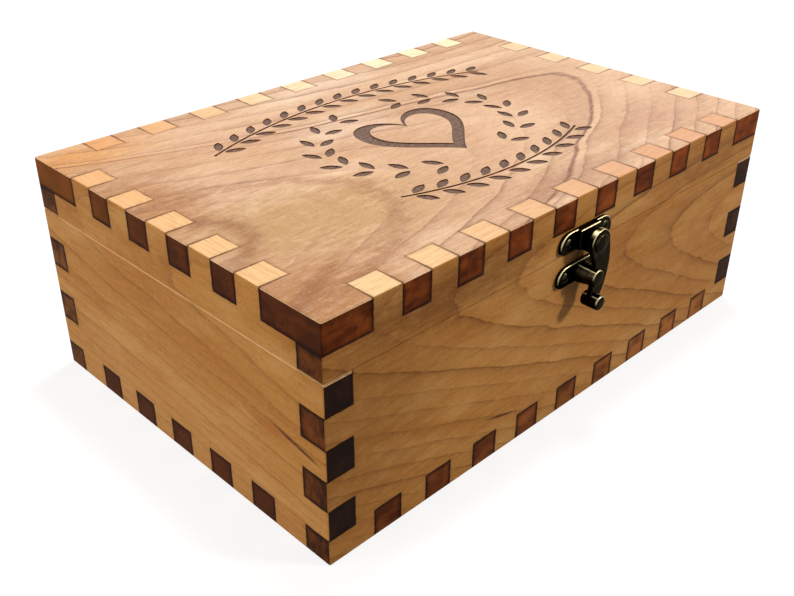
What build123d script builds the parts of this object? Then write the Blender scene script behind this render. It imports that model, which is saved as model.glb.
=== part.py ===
from build123d import *
import math
import os

# A finger-jointed wooden keepsake box with a hinged lid and a swing-hook latch.
# Millimetres. Origin at the centre of the underside, +X to the right along the
# front, +Y to the back, +Z up. The box is shown closed and latched.

os.makedirs("parts", exist_ok=True)

# ---------------------------------------------------------------- box sizes
box_length = 203.0
box_width = 134.5
box_height = 75.8
board = 9.3                 # thickness of every board
lid_height = 17.4           # top surface down to the seam
seam_gap = 0.2              # between lid and body when shut
joint_gap = 0.12            # kerf left between two neighbouring fingers
edge_ease = 0.5             # rounding along the outer edges
seam_ease = 0.35            # rounding along the two seam edges
notch_round = 1.0           # rounded inner corner of each notch

# ------------------------------------------------------------ finger layout
long_block = 16.3           # plain corner at each end of a long top edge
short_block = 22.6          # plain corner at each end of a short top edge
long_finger_count = 9       # wall fingers through each long edge
short_finger_count = 5      # wall fingers through each short edge
corner_finger_count = 6     # down each body corner, the end wall's first
last_share = 0.88           # height of the lowest one, of a full finger

# --------------------------------------------------------- engraved ornament
engrave_depth = 0.35
stem_width = 0.9
leaf_length = 7.2
leaf_width = 3.0
leaf_belly = 0.45           # widest point, along a leaf from its foot
leaf_lean = 38.0            # degrees between a leaf and its stem
leaf_pitch = 8.4            # along a stem, from one pair to the next
leaf_stand_off = 0.5        # from the stem's edge to the leaf's foot
upper_stem_radius = 162.0
upper_stem_crown = 41.0     # the stem's highest point, from the lid's middle
upper_stem_count = 15       # pairs of leaves
lower_stem_radius = 111.0
lower_stem_crown = -40.0
lower_stem_count = 10
wreath_half_length = 38.0
wreath_half_width = 27.0
wreath_count = 8            # pairs of leaves on each of its two branches
wreath_gap = 26.0           # degrees left open at the top and at the bottom
heart_half_width = 20.0
heart_lift = -1.0           # heart's middle from the lid's middle
heart_inner = 0.74          # inner outline's size, of the outer one
heart_inner_lift = 0.7      # it stands this much higher, so the tip is stouter

# ------------------------------------------------------------------- screws
screw_shank_r = 0.8
screw_length = 6.5          # below the head
screw_tip = 1.6             # length of the cone at the end
screw_point_r = 0.1         # radius left at the cone's end
screw_head_r = 1.6
screw_head_height = 0.9
screw_slot_width = 0.4
screw_slot_depth = 0.4
screw_turn = 25.0           # degrees that the slots are turned
screw_clearance = 0.1       # round the shank in a plate
pilot_clearance = 0.05      # round the shank in wood
pilot_spare = 0.4           # pilot hole beyond the screw's tip

# -------------------------------------------------------------------- latch
pivot_above_seam = 3.4
catch_below_seam = 7.8
catch_offset = -0.6         # the catch pin stands a little left of the pivot
plate_width = 24.8
plate_height = 6.7
plate_thickness = 1.3
plate_lift = 1.0            # plate's middle above its own post
plate_shoulder = 4.4        # radius of the upper outer corners
plate_toe = 2.0             # radius of the lower outer corners
plate_screw_x = 8.9
pad_width = 9.6             # raised middle of each plate
pad_height = 2.6            # from the wood to the pad's face
plate_ease = 0.4
post_r = 3.9
post_height = 4.6           # from the wood to the post's face
rivet_r = 1.5
rivet_clearance = 0.05
rivet_head_r = 3.1
rivet_head_height = 0.7
hook_gap = 0.1              # hook to post, and hook to rivet head
hook_thickness = 1.8
hook_eye_r = 4.4
hook_root = 210.0           # degrees round the eye, where the inner edge starts
hook_bulge = 4.9            # outer edge of the arm, right of the pivot
hook_bulge_drop = 6.7       # below the pivot
hook_neck = 2.2             # inner edge half way to the catch, left of the pivot
hook_throat = 6.0           # degrees that the arm reaches past the catch, above it
hook_lip = 4.0              # degrees that its lip reaches past the catch, below it
hook_tail = 2.0             # half the arm's width at the knob
catch_r = 2.6
catch_clearance = 0.3
catch_height = 7.4          # from the wood to the pin's end
catch_shank_r = 1.4
pin_ease = 0.35
knob_drop = 19.25           # below the pivot
knob_offset = -0.3
knob_r = 2.4
knob_shank_r = 1.2
knob_back = 2.9             # from the wood to the knob's back
knob_front = 8.4            # from the wood to the knob's front
knob_ease = 0.5

# ------------------------------------------------------------------- hinges
hinge_inset = 40.5          # from the box's end to the middle of a hinge
leaf_span = 24.0            # width of a leaf along the seam
leaf_reach = 11.5           # from the pin's axis to a leaf's far edge
leaf_thickness = 0.9
leaf_corner = 2.0
barrel_r = 1.7
barrel_stand_off = 0.1      # barrel clear of the wood
hinge_pin_r = 0.75
hinge_pin_clearance = 0.05
hinge_pin_head_r = 1.15
hinge_pin_head = 0.6
knuckle_gap = 0.15
lid_knuckle_share = 0.5     # of the barrel's length
barrel_clearance = 0.3      # from a turning knuckle to the other leaf
hinge_screw_x = 8.0
stop_angle = 100.0          # degrees that the lid opens
heel_length = 4.6           # from the pin's axis to the heel's end
heel_gap = 0.15             # heel to body leaf at the stop

# ---------------------------------------------------------------- worked out
half_x = box_length / 2
half_y = box_width / 2
seam_z = box_height - lid_height
body_top = seam_z - seam_gap / 2
lid_bottom = seam_z + seam_gap / 2
panel_under = box_height - board
inner_x = half_x - board
inner_y = half_y - board
slack = joint_gap / 2
overrun = 1.0               # how far a cut runs past a face

pivot_z = seam_z + pivot_above_seam
catch_z = seam_z - catch_below_seam
hook_back = post_height + hook_gap
hook_front = hook_back + hook_thickness

axis_y = half_y + barrel_stand_off + barrel_r
leaf_start = barrel_r + barrel_clearance
hinge_screw_z = (leaf_start + lid_height - board) / 2


# ------------------------------------------------------------------- helpers
def block(x0, x1, y0, y1, z0, z1):
    """A box between two corners."""
    size = Box(x1 - x0, y1 - y0, z1 - z0)
    return Pos((x0 + x1) / 2, (y0 + y1) / 2, (z0 + z1) / 2) * size


def prism(x0, x1, y0, y1, z0, z1, along, corner):
    """A box whose edge along one axis, nearest to the given corner, is rounded."""
    solid = block(x0, x1, y0, y1, z0, z1)
    edge = solid.edges().filter_by(along).sort_by_distance(corner)[0]
    return fillet(edge, notch_round)


def turned(solid):
    """The same piece turned half a turn about the box's upright middle line."""
    return Rot(0, 0, 180) * solid


def both_ways(solids):
    """Each solid and its copy on the opposite side of the box."""
    return list(solids) + [turned(s) for s in solids]


def spans(half_length, corner_block, fingers):
    """Finger boundaries along one edge, from its left corner block to its right."""
    run = 2 * (half_length - corner_block)
    pitch = run / (2 * fingers - 1)
    start = corner_block - half_length
    return [start + i * pitch for i in range(2 * fingers)]


def save(name, shape):
    """Write a node's STEP file."""
    solids = shape.solids()
    piece = solids[0] if len(solids) == 1 else Compound(solids)
    piece.label = name
    export_step(piece, os.path.join("parts", name + ".step"))


def on_front(x, z, depth=0.0):
    """A plane on the front face, its Z pointing forwards, at a depth before it."""
    return Plane(origin=(x, -half_y - depth, z), x_dir=(1, 0, 0), z_dir=(0, -1, 0))


def on_back(x, z, depth=0.0):
    """A plane on the back face, its Z pointing backwards, at a depth behind it."""
    return Plane(origin=(x, half_y + depth, z), x_dir=(-1, 0, 0), z_dir=(0, 1, 0))


def rod(radius, low, high, ease=0.0):
    """An upright cylinder from low to high, its top rim rounded."""
    solid = Pos(0, 0, (low + high) / 2) * Cylinder(radius, high - low)
    if ease:
        rim = solid.edges().filter_by(GeomType.CIRCLE).sort_by(Axis.Z)[-1]
        solid = fillet(rim, ease)
    return solid


def dome(radius, low, height):
    """A low round head of a given radius and height, standing on low."""
    ball_r = (radius ** 2 + height ** 2) / (2 * height)
    ball = Pos(0, 0, low + height - ball_r) * Sphere(ball_r)
    return ball & rod(radius, low, low + height)


# ------------------------------------------------------------ finger solids
long_marks = spans(half_x, long_block, long_finger_count)
short_marks = spans(half_y, short_block, short_finger_count)
full_finger = seam_z / (corner_finger_count - 1 + last_share)
levels = [seam_z - i * full_finger for i in range(corner_finger_count)] + [0.0]


def panel_fingers(z0, z1, first, grow):
    """The fingers of a top or bottom panel, from mark number first, every second.

    grow widens them into the notches that take them. The top panel's fingers
    have their lower corner rounded, the bottom panel's their upper one.
    """
    top = z1 > seam_z
    edge_z = z0 if top else z1
    mid_x = -(half_x + inner_x) / 2
    mid_y = -(half_y + inner_y) / 2
    solids = []
    for i in range(first, len(long_marks) - 1, 2):
        a, b = long_marks[i] - grow, long_marks[i + 1] + grow
        corner = (b if top else a, mid_y, edge_z)
        solids.append(prism(a, b, -half_y, -inner_y, z0, z1, Axis.Y, corner))
    for i in range(first, len(short_marks) - 1, 2):
        a, b = short_marks[i] - grow, short_marks[i + 1] + grow
        corner = (mid_x, b if top else a, edge_z)
        solids.append(prism(-half_x, -inner_x, a, b, z0, z1, Axis.X, corner))
    return both_ways(solids)


def top_corner_blocks(grow):
    """The top panel's own corners, one leg along each edge."""
    z0, z1 = panel_under, box_height
    long_end = long_marks[0] + grow
    short_end = short_marks[0] + grow
    long_far = long_marks[-1] - grow
    short_far = short_marks[-1] - grow
    mid_y = -(half_y + inner_y) / 2
    mid_x = -(half_x + inner_x) / 2
    solids = [
        prism(-half_x, long_end, -half_y, -inner_y, z0, z1, Axis.Y, (long_end, mid_y, z0)),
        block(long_far, half_x, -half_y, -inner_y, z0, z1),
        prism(-half_x, -inner_x, -half_y, short_end, z0, z1, Axis.X, (mid_x, short_end, z0)),
        block(-half_x, -inner_x, short_far, half_y, z0, z1),
    ]
    return both_ways(solids)


def corner_stack(owner, grow, rounded=True):
    """The body's corner fingers that belong to the end walls or the long walls.

    owner 0 is the end walls' and 1 the long walls'. Each has its inner lower
    edge rounded, save the lowest, which stands on the table.
    """
    solids = []
    for i in range(owner, corner_finger_count, 2):
        high = body_top if i == 0 else levels[i] + grow
        low = levels[i + 1] - grow if i < corner_finger_count - 1 else 0.0
        for side in (-1, 1):
            x0, x1 = sorted((side * half_x, side * inner_x))
            y0, y1 = -half_y, -inner_y
            if not rounded or i == corner_finger_count - 1:
                solids.append(block(x0, x1, y0, y1, low, high))
            elif owner == 0:
                corner = (side * inner_x, (y0 + y1) / 2, low)
                solids.append(prism(x0, x1, y0, y1, low, high, Axis.Y, corner))
            else:
                corner = ((x0 + x1) / 2, -inner_y, low)
                solids.append(prism(x0, x1, y0, y1, low, high, Axis.X, corner))
    return both_ways(solids)


def corner_trims(owner):
    """The slivers that round the inner lower edges of a wall's own corner fingers."""
    square = corner_stack(owner, -slack, rounded=False)
    eased = corner_stack(owner, -slack)
    trims = [a - b for a, b in zip(square, eased)]
    return [s for t in trims for s in t.solids()]


# ------------------------------------------------- outer shape of both halves
def eased_case(z0, z1, seam_at):
    """A block the size of the box, its outer edges rounded, finer at the seam."""
    case = block(-half_x, half_x, -half_y, half_y, z0, z1)
    end = 0 if seam_at == z0 else -1
    others = case.edges() - case.faces().sort_by(Axis.Z)[end].edges()
    case = fillet(others, edge_ease)
    rim = case.faces().sort_by(Axis.Z)[end].edges()
    return fillet(rim, seam_ease)


body_case = eased_case(0, body_top, body_top)
lid_case = eased_case(lid_bottom, box_height, lid_bottom)


# ------------------------------------------------------------------- screws
def screw():
    """A slotted round-head wood screw, its head's underside at the origin."""
    tip_end = -screw_length
    shank = rod(screw_shank_r, tip_end + screw_tip, 0)
    tip = Cone(screw_point_r, screw_shank_r, screw_tip)
    slot = Box(3 * screw_head_r, screw_slot_width, 2 * screw_slot_depth)
    head = dome(screw_head_r, 0, screw_head_height)
    head -= Pos(0, 0, screw_head_height) * slot
    return head + shank + Pos(0, 0, tip_end + screw_tip / 2) * tip


def screws(places):
    """One screw at each place, their slots all turned alike."""
    made = [place * Rot(0, 0, screw_turn) * screw() for place in places]
    return Compound([m.solid() for m in made])


def pilot(plane):
    """The hole that a screw needs in the wood under a plate, on the wood's face."""
    depth = screw_length + pilot_spare
    return plane * rod(screw_shank_r + pilot_clearance, -depth, 0)


latch_screw_spots = {
    "upper": [(side * plate_screw_x, pivot_z + plate_lift) for side in (-1, 1)],
    "lower": [(side * plate_screw_x, catch_z + plate_lift) for side in (-1, 1)],
}
hinge_middles = [hinge_inset - half_x, half_x - hinge_inset]
hinge_screw_spots = {
    "lid": [(m + s * hinge_screw_x, seam_z + hinge_screw_z)
            for m in hinge_middles for s in (-1, 1)],
    "body": [(m + s * hinge_screw_x, seam_z - hinge_screw_z)
             for m in hinge_middles for s in (-1, 1)],
}


# --------------------------------------------------------- engraved ornament
def leaf():
    """A pointed leaf along +X from the origin."""
    half = leaf_width / 2
    tip = (leaf_length, 0)
    belly = leaf_length * leaf_belly
    upper = ThreePointArc((0, 0), (belly, half), tip)
    lower = ThreePointArc((0, 0), (belly, -half), tip)
    return make_face([upper, lower])


def leaf_pair(x, y, heading):
    """Two leaves, one on each side of a stem that passes x, y at heading degrees."""
    off = stem_width / 2 + leaf_stand_off
    pair = []
    for side in (-1, 1):
        foot = Pos(x, y) * Rot(0, 0, heading) * Pos(0, side * off)
        pair.append(foot * Rot(0, 0, side * leaf_lean) * leaf())
    return pair


def stem_row(radius, crown, pairs, bend):
    """A leafy stem along an arc; bend is 1 for an arch and -1 for a bowl."""
    centre_y = crown - bend * radius
    step = math.degrees(leaf_pitch / radius)
    faces = []
    for i in range(pairs):
        lean = (i - (pairs - 1) / 2) * step
        angle = bend * 90 - bend * lean
        x = radius * math.cos(math.radians(angle))
        y = centre_y + radius * math.sin(math.radians(angle))
        faces += leaf_pair(x, y, angle - bend * 90)
    reach = step * pairs / 2
    ends = []
    for r in (radius - stem_width / 2, radius + stem_width / 2):
        pts = []
        for lean in (-reach, 0, reach):
            angle = math.radians(bend * 90 - bend * lean)
            pts.append((r * math.cos(angle), centre_y + r * math.sin(angle)))
        ends.append(pts)
    (a, b, c), (d, e, f) = ends
    faces.append(make_face([ThreePointArc(a, b, c), Line(c, f), ThreePointArc(f, e, d),
                            Line(d, a)]))
    return faces


def wreath():
    """Two leafy branches round the heart, open at the top and the bottom."""
    faces = []
    sweep = 180 - wreath_gap
    for side in (-1, 1):
        for i in range(wreath_count):
            angle = -90 + wreath_gap / 2 + sweep * (i + 0.5) / wreath_count
            a = math.radians(angle)
            x = side * wreath_half_length * math.cos(a)
            y = wreath_half_width * math.sin(a)
            dx = -side * wreath_half_length * math.sin(a)
            dy = wreath_half_width * math.cos(a)
            faces += leaf_pair(x, y, math.degrees(math.atan2(dy, dx)))
    return faces


def heart(size):
    """A plain heart, its middle at the origin and its half width the given size.

    Its right half is two curves, from the dip to the side and on to the tip, given
    here for a half width of one.
    """
    dip, side, tip = (0, 0.42), (1, 0.34), (0, -0.98)
    curves = [(dip, (0.2, 0.98), (1, 1.05), side), (side, (1, -0.2), (0.32, -0.55), tip)]
    half = [Bezier(*[(size * x, size * y) for x, y in curve]) for curve in curves]
    return make_face(half + [mirror(curve, Plane.YZ) for curve in half])


def ornament():
    """All the engraved shapes, on the lid's top surface."""
    faces = stem_row(upper_stem_radius, upper_stem_crown, upper_stem_count, 1)
    faces += stem_row(lower_stem_radius, lower_stem_crown, lower_stem_count, -1)
    faces += wreath()
    outer = Pos(0, heart_lift) * heart(heart_half_width)
    inner = Pos(0, heart_lift + heart_inner_lift) * heart(heart_half_width * heart_inner)
    faces.append(outer - inner)
    return [Pos(0, 0, box_height) * f for f in faces]


# ------------------------------------------------------------------- boards
def lid_boards():
    """The lid's top panel and its four walls."""
    core = block(-inner_x, inner_x, -inner_y, inner_y, panel_under, box_height)
    fingers = panel_fingers(panel_under, box_height, 1, -slack)
    panel = core.fuse(*fingers, *top_corner_blocks(-slack)).clean() & lid_case
    pockets = [extrude(f, -engrave_depth) for f in ornament()]
    panel = panel.cut(*[s for p in pockets for s in p.solids()])

    notches = panel_fingers(panel_under, box_height + overrun, 1, slack)
    notches += top_corner_blocks(slack)
    front = block(-half_x, half_x, -half_y, -inner_y, lid_bottom, box_height)
    left = block(-half_x, -inner_x, -inner_y, inner_y, lid_bottom, box_height)
    walls = {}
    for name, wall in (("front", front), ("back", turned(front)),
                       ("left_end", left), ("right_end", turned(left))):
        walls["lid_" + name] = wall.cut(*notches) & lid_case
    for x, z in latch_screw_spots["upper"]:
        walls["lid_front"] -= pilot(on_front(x, z))
    for x, z in hinge_screw_spots["lid"]:
        walls["lid_back"] -= pilot(on_back(x, z))
    return {"lid_top_panel": panel, **walls}


def body_boards():
    """The body's bottom panel and its four walls."""
    core = block(-inner_x, inner_x, -inner_y, inner_y, 0, board)
    fingers = panel_fingers(0, board, 0, -slack)
    bottom = core.fuse(*fingers).clean() & body_case

    floor_notches = panel_fingers(-overrun, board, 0, slack)
    front = block(-half_x, half_x, -half_y, -inner_y, 0, body_top)
    left = block(-half_x, -inner_x, -half_y, half_y, 0, body_top)
    walls = {}
    for name, wall, owner in (("front", front, 1), ("back", turned(front), 1),
                              ("left_end", left, 0), ("right_end", turned(left), 0)):
        notches = floor_notches + corner_stack(1 - owner, slack) + corner_trims(owner)
        walls["body_" + name] = wall.cut(*notches) & body_case
    for x, z in latch_screw_spots["lower"]:
        walls["body_front"] -= pilot(on_front(x, z))
    for x, z in hinge_screw_spots["body"]:
        walls["body_back"] -= pilot(on_back(x, z))
    return {"body_bottom_panel": bottom, **walls}


# -------------------------------------------------------------------- latch
def latch_plate():
    """A plate with a raised pad and two screw holes, lying on the XY plane.

    Z is away from the wood, and the origin is under the plate's own post or pin.
    """
    outline = Pos(0, plate_lift) * Rectangle(plate_width, plate_height)
    outline = fillet(outline.vertices().group_by(Axis.Y)[-1], plate_shoulder)
    outline = fillet(outline.vertices().group_by(Axis.Y)[0], plate_toe)
    plate = extrude(outline, plate_thickness)
    plate = fillet(plate.faces().sort_by(Axis.Z)[-1].edges(), plate_ease)
    pad = extrude(Pos(0, plate_lift) * Rectangle(pad_width, plate_height), pad_height)
    plate += fillet(pad.faces().sort_by(Axis.Z)[-1].edges(), plate_ease)
    hole = rod(screw_shank_r + screw_clearance, -overrun, plate_thickness + overrun)
    for side in (-1, 1):
        plate -= Pos(side * plate_screw_x, plate_lift) * hole
    return plate


def upper_plate():
    """The lid's plate, with the post that the hook turns against."""
    plate = latch_plate() + rod(post_r, pad_height / 2, post_height)
    return plate - rod(rivet_r + rivet_clearance, -overrun, post_height + overrun)


def lower_plate():
    """The body's plate, drilled for the catch pin."""
    hole = rod(catch_shank_r + rivet_clearance, -overrun, pad_height + overrun)
    return latch_plate() - Pos(catch_offset, 0) * hole


def pivot_rivet():
    """The rivet that the hook turns on, with a low domed head."""
    low = hook_front + hook_gap
    return dome(rivet_head_r, low, rivet_head_height) + rod(rivet_r, 0, low)


def hook_outline():
    """The hook's eye, arm and tail seen from the front, the pivot at the origin.

    The slot that takes the catch pin is as wide as the pin with its clearance, and
    both its sides follow the pin's path as the hook swings.
    """
    catch_x, catch_y = catch_offset, catch_z - pivot_z
    catch_radius = math.hypot(catch_x, catch_y)
    reach = catch_r + catch_clearance
    near, far = catch_radius - reach, catch_radius + reach

    def beside_catch(radius, lean):
        """A point at a radius from the pivot, lean degrees to the catch's left."""
        angle = math.atan2(catch_y, catch_x) - math.radians(lean)
        return (radius * math.cos(angle), radius * math.sin(angle))

    slot_end = (catch_x - catch_y / catch_radius * reach,
                catch_y + catch_x / catch_radius * reach)
    slot_high, slot_low = beside_catch(near, 0), beside_catch(far, 0)
    throat, lip = beside_catch(near, hook_throat), beside_catch(far, hook_lip)
    root_angle = math.radians(hook_root)
    root = (hook_eye_r * math.cos(root_angle), hook_eye_r * math.sin(root_angle))
    neck = (-hook_neck, (throat[1] + root[1]) / 2)
    shoulder = (hook_eye_r, 0)
    tail_right = (knob_offset + hook_tail, -knob_drop)
    tail_left = (knob_offset - hook_tail, -knob_drop)
    arm = make_face([
        ThreePointArc(shoulder, (hook_bulge, -hook_bulge_drop), tail_right),
        Line(tail_right, tail_left),
        Line(tail_left, lip),
        ThreePointArc(lip, beside_catch(far, hook_lip / 2), slot_low),
        ThreePointArc(slot_low, slot_end, slot_high),
        ThreePointArc(slot_high, beside_catch(near, hook_throat / 2), throat),
        ThreePointArc(throat, neck, root),
        Line(root, shoulder),
    ])
    knob_end = Pos(knob_offset, -knob_drop)
    shape = arm + Circle(hook_eye_r) + knob_end * Circle(knob_r)
    shape -= Circle(rivet_r + rivet_clearance)
    return shape - knob_end * Circle(knob_shank_r)


def latch_hook():
    """The swinging hook, cut from plate."""
    return Pos(0, 0, hook_back) * extrude(hook_outline(), hook_thickness)


def latch_knob():
    """The finger knob, riveted through the hook's tail."""
    front = rod(knob_r, hook_front, knob_front, knob_ease)
    back = Rot(180, 0, 0) * rod(knob_r, -hook_back, -knob_back, knob_ease)
    return front + back + rod(knob_shank_r, hook_back, hook_front)


def catch_pin():
    """The stout pin that the hook drops round, riveted into the lower plate."""
    return rod(catch_r, pad_height, catch_height, pin_ease) + rod(catch_shank_r, 0, pad_height)


def latch_pieces():
    """Every piece of the latch, on the front of the box."""
    pivot = on_front(0, pivot_z)
    pieces = {
        "latch_upper_plate": pivot * upper_plate(),
        "latch_pivot_rivet": pivot * pivot_rivet(),
        "latch_hook": pivot * latch_hook(),
        "latch_knob": on_front(knob_offset, pivot_z - knob_drop) * latch_knob(),
        "latch_catch_pin": on_front(catch_offset, catch_z) * catch_pin(),
        "latch_lower_plate": on_front(0, catch_z) * lower_plate(),
    }
    for which, spots in latch_screw_spots.items():
        places = [on_front(x, z, plate_thickness) for x, z in spots]
        pieces[f"latch_{which}_screws"] = screws(places)
    return pieces


# ------------------------------------------------------------------- hinges
def knuckle(x0, x1):
    """A length of hinge barrel along X about the pin's axis, bored for the pin."""
    length = x1 - x0
    tube = Cylinder(barrel_r, length) - Cylinder(hinge_pin_r + hinge_pin_clearance, length)
    return Pos((x0 + x1) / 2, axis_y, seam_z) * Rot(0, 90, 0) * tube


def hinge_leaf(up, own):
    """A leaf on the back face, above the seam if up is 1 and below it if -1.

    own lists the stretches of barrel that this leaf carries.
    """
    z0, z1 = sorted((seam_z + up * leaf_start, seam_z + up * leaf_reach))
    plate = block(-leaf_span / 2, leaf_span / 2, half_y, half_y + leaf_thickness, z0, z1)
    far = plate.edges().filter_by(Axis.Y).group_by(Axis.Z)[-1 if up > 0 else 0]
    plate = fillet(far, leaf_corner)
    for x0, x1 in own:
        w0, w1 = sorted((seam_z, seam_z + up * leaf_start))
        plate += block(x0, x1, half_y, half_y + leaf_thickness, w0, w1)
        bore = Cylinder(hinge_pin_r + hinge_pin_clearance, x1 - x0)
        plate -= Pos((x0 + x1) / 2, axis_y, seam_z) * Rot(0, 90, 0) * bore
        plate += knuckle(x0, x1)
    for side in (-1, 1):
        hole = rod(screw_shank_r + screw_clearance, -overrun, leaf_thickness + overrun)
        plate -= on_back(side * hinge_screw_x, seam_z + up * hinge_screw_z) * hole
    return plate


def stop_heel(half_width):
    """The lid leaf's heel, which meets the body leaf when the lid is fully open."""
    face = half_y + leaf_thickness + heel_gap - axis_y
    heel = block(-half_width, half_width, face, face + leaf_thickness, -heel_length, 0)
    heel -= Rot(0, 90, 0) * Cylinder((barrel_r + hinge_pin_r) / 2, 4 * half_width)
    heel = Rot(stop_angle, 0, 0) * heel
    return Pos(0, axis_y, seam_z) * heel


def hinge_pin():
    """The hinge's pin with a rivet head at each end."""
    half = leaf_span / 2
    pin = rod(hinge_pin_r, -half - hinge_pin_head / 2, half + hinge_pin_head / 2)
    for side in (0, 180):
        head = rod(hinge_pin_head_r, half, half + hinge_pin_head, hinge_pin_head / 3)
        pin += Rot(side, 0, 0) * head
    return Pos(0, axis_y, seam_z) * Rot(0, 90, 0) * pin


def hinge_pieces():
    """Both hinges on the back of the box, and their screws."""
    half = leaf_span / 2
    lid_half = half * lid_knuckle_share
    lid_own = [(-lid_half, lid_half)]
    body_own = [(-half, -lid_half - knuckle_gap), (lid_half + knuckle_gap, half)]
    lid_leaf = hinge_leaf(1, lid_own) + stop_heel(lid_half)
    body_leaf = hinge_leaf(-1, body_own)
    pieces = {}
    for name, middle in zip(("left", "right"), hinge_middles):
        place = Pos(middle, 0, 0)
        pieces[f"hinge_{name}_lid_leaf"] = place * lid_leaf
        pieces[f"hinge_{name}_body_leaf"] = place * body_leaf
        pieces[f"hinge_{name}_pin"] = place * hinge_pin()
    for which, spots in hinge_screw_spots.items():
        places = [on_back(x, z, leaf_thickness) for x, z in spots]
        pieces[f"hinge_{which}_screws"] = screws(places)
    return pieces


for node, shape in {**lid_boards(), **body_boards(), **latch_pieces(), **hinge_pieces()}.items():
    save(node, shape)
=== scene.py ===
"""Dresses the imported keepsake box: figured boards with laser-burnt joints and aged bronze.

Sizes are in millimetres, as in the part's source, and become metres where a mesh is made.
The row frame has its origin under the box's middle, X to the right along the front, Y to
the back and Z up.
"""

import logging
import math
from dataclasses import dataclass
from enum import Enum
from functools import partialmethod

import bmesh
import bpy
from mathutils import Matrix, Vector


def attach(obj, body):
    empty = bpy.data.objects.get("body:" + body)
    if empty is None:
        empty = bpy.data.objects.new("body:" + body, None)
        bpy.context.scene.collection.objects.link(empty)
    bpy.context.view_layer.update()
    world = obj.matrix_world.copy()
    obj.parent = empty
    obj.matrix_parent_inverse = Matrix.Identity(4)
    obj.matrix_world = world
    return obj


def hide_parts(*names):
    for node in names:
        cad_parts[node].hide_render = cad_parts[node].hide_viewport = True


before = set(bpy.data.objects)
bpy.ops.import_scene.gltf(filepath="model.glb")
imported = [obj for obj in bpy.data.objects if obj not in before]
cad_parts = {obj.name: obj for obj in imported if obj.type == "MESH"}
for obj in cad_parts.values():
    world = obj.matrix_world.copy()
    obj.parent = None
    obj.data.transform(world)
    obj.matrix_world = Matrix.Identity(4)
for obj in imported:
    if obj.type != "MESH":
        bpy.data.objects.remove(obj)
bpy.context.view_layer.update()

log = logging.getLogger("keepsake_box")

Solid = bmesh.types.BMesh
Tree = bpy.types.NodeTree
Material = bpy.types.Material

MM = 0.001
# Mesh attribute of the bronze's bright marks: edges partly rubbed and partly painted highlight, and
# painted highlight lines
WEAR_AND_HIGHLIGHT = "wear_and_highlight"
WHITE = (1.0, 1.0, 1.0)
FAR = 90.0  # further off than a joint line can be
LEVEL = 0.6  # how much of its normal a face has along the axis that it faces
EDGE = 0.9  # how far in from an outer edge its rounding is over


def tone(*screen: float) -> tuple[float, ...]:
    """Turns a colour as a screen shows it, 0 to 255, into the linear colour of a shader."""
    shares = [part / 255 for part in screen]
    return (*(s / 12.92 if s <= 0.04045 else ((s + 0.055) / 1.055) ** 2.4 for s in shares), 1.0)


# Box layout
@dataclass(frozen=True)
class Row:
    """A row of finger joints: where its first mark is, the pitch and how many spans."""

    first: float
    pitch: float
    spans: int


@dataclass(frozen=True)
class BoxLayout:
    """The sizes of the part's source that the finishes follow, and where they change."""

    half_length: float = 101.5
    half_width: float = 67.25
    height: float = 75.8
    board: float = 9.3
    seam: float = 58.4
    long_row: Row = Row(-85.2, 10.0235, 17)
    short_row: Row = Row(-44.65, 9.9222, 9)
    stack: Row = Row(0.0, 9.932, 6)
    rim_reach: float = 0.6
    far_tips_from: float = 42.0
    ends_change: tuple = (-20.0, 60.0)
    ornament_reach: tuple = (74.0, 52.0)
    floor_depth: tuple = (0.12, 0.8)


BOX = BoxLayout()


# Shader writing
class Wire:
    """A value running through a shader tree. Sums on wires add the nodes that work them out.

    Least and most give the lower and the higher of two values, size the value without its
    sign, and above and below 1 where it is over or under a limit, else 0.
    """

    def __init__(self, tree: Tree, socket: bpy.types.NodeSocket) -> None:
        """Keeps the tree and the socket that gives the value."""
        self.tree = tree
        self.socket = socket

    def sum(self, operation: str, *others: object) -> "Wire":
        """Adds a Math node of that operation, on the value and the others in order."""
        return worked(self.tree, "Math", dict(enumerate((self, *others))), operation=operation)

    __add__ = partialmethod(sum, "ADD")
    __sub__ = partialmethod(sum, "SUBTRACT")
    __mul__ = partialmethod(sum, "MULTIPLY")
    __truediv__ = partialmethod(sum, "DIVIDE")
    least = partialmethod(sum, "MINIMUM")
    most = partialmethod(sum, "MAXIMUM")
    size = partialmethod(sum, "ABSOLUTE")
    above = partialmethod(sum, "GREATER_THAN")
    below = partialmethod(sum, "LESS_THAN")

    def __rsub__(self, other: float) -> "Wire":
        """Takes the value away from a number."""
        return self * -1.0 + other

    def ease(self, start: object, end: object, low: object = 0.0, high: object = 1.0) -> "Wire":
        """Follows a smooth step.

        Args:
            start: the value at which the result leaves low.
            end: the value at which the result reaches high.
            low: the result before start.
            high: the result after end.

        Returns:
            The wire with the result.
        """
        return worked(self.tree, "MapRange", dict(enumerate((self, start, end, low, high))),
                      interpolation_type="SMOOTHSTEP")

    def between(self, low: object, high: object) -> "Wire":
        """Mixes two colours: the low one where the value is 0, the high one where it is 1."""
        return worked(self.tree, "Mix", {0: self, 6: low, 7: high}, 2, data_type="RGBA")

    def parts(self) -> list["Wire"]:
        """The three values of a vector."""
        node = worked(self.tree, "SeparateXYZ", {0: self}).socket.node
        return [Wire(self.tree, socket) for socket in node.outputs]


def feed(tree: Tree, place: bpy.types.NodeSocket, value: object) -> None:
    """Links a wire to a socket, or sets the socket's own value to a number or colour.

    Args:
        tree: the tree that the socket is in.
        place: the socket.
        value: the wire, number or colour.
    """
    if isinstance(value, Wire):
        tree.links.new(value.socket, place)
    else:
        place.default_value = value


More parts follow.
